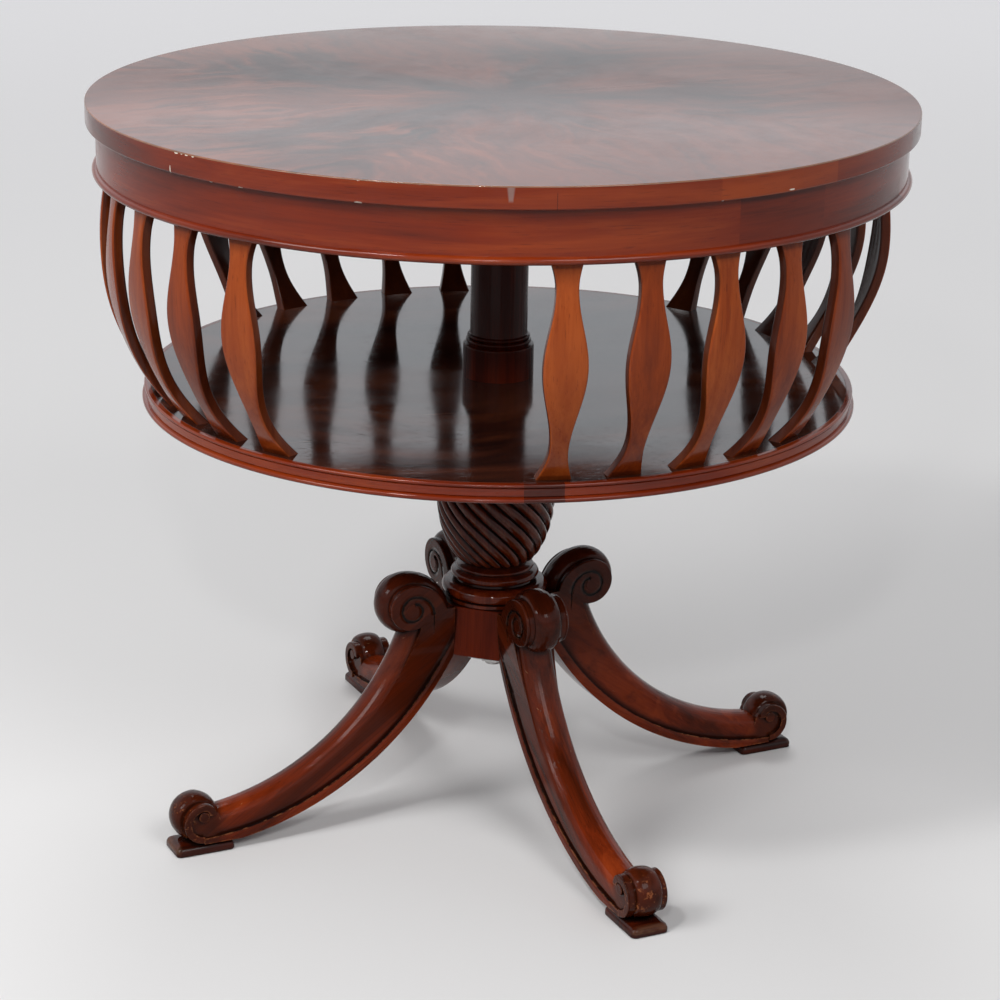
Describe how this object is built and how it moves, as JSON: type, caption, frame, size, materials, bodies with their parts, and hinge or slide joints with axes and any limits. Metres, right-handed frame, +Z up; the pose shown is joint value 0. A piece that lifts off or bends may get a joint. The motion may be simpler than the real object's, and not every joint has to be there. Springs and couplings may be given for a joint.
{
  "type": "lazy susan table",
  "caption": "Round mahogany table: a veneered top on a slatted drum with an open shelf, turning on a spiral-reeded pedestal with scrolled legs.",
  "frame": {"origin": "on the floor, under the spindle's axis", "axes": "+Z up along the spindle; the four legs stand on the diagonals of X and Y; the drum's four openings face -Y, +X, +Y and -X, turned 5.3 degrees about +Z at rest"},
  "size_m": [0.7619, 0.762, 0.7001],
  "materials": {
    "flame_veneer": "French-polished flame mahogany veneer",
    "mahogany": "polished solid mahogany",
    "carved_mahogany": "dark polished carved mahogany",
    "oak": "bare oak",
    "steel": "oiled steel",
    "brass": "turned brass"
  },
  "bodies": {
    "pedestal": {"hub_block": "mahogany", "leg_front_left": "mahogany", "leg_front_right": "mahogany", "leg_back_right": "mahogany", "leg_back_left": "mahogany", "pedestal_cap": "carved_mahogany", "pedestal_neck": "carved_mahogany", "spiral_vase": "carved_mahogany", "base_turning": "carved_mahogany", "foot_pads": "carved_mahogany", "leg_dowels": "oak", "lower_bearing_plate": "steel", "lower_plate_screws": "steel", "spindle": "steel", "spindle_nuts": "steel", "hub_plate": "steel", "hub_plate_screws": "steel"},
    "drum": {"table_top": "flame_veneer", "top_lipping": "mahogany", "apron": "mahogany", "apron_bead": "mahogany", "glue_blocks": "oak", "post_head_block": "oak", "head_block_screws": "steel", "centre_post": "mahogany", "shelf_board": "flame_veneer", "shelf_rim": "mahogany", "shelf_bush": "brass", "upper_bush": "brass", "upper_bearing_plate": "steel", "upper_plate_screws": "steel", "slat_right_1": "mahogany", "slat_right_2": "mahogany", "slat_right_3": "mahogany", "slat_right_4": "mahogany", "slat_right_5": "mahogany", "slat_right_6": "mahogany", "slat_right_7": "mahogany", "slat_right_8": "mahogany", "slat_right_9": "mahogany", "slat_right_10": "mahogany", "slat_left_1": "mahogany", "slat_left_2": "mahogany", "slat_left_3": "mahogany", "slat_left_4": "mahogany", "slat_left_5": "mahogany", "slat_left_6": "mahogany", "slat_left_7": "mahogany", "slat_left_8": "mahogany", "slat_left_9": "mahogany", "slat_left_10": "mahogany"},
    "cage": {"bearing_balls": "steel", "ball_cage": "brass"}
  },
  "joints": [
    {"name": "drum_spin", "type": "hinge", "parent": "pedestal", "child": "drum", "pos_m": [0, 0, 0.42], "axis": [0, 0, 1], "continuous": true},
    {"name": "cage_spin", "type": "hinge", "parent": "pedestal", "child": "cage", "pos_m": [0, 0, 0.4116], "axis": [0, 0, 1], "continuous": true}
  ],
  "couplings": [
    {"joint": "cage_spin", "follows": "drum_spin", "ratio": 0.5}
  ]
}
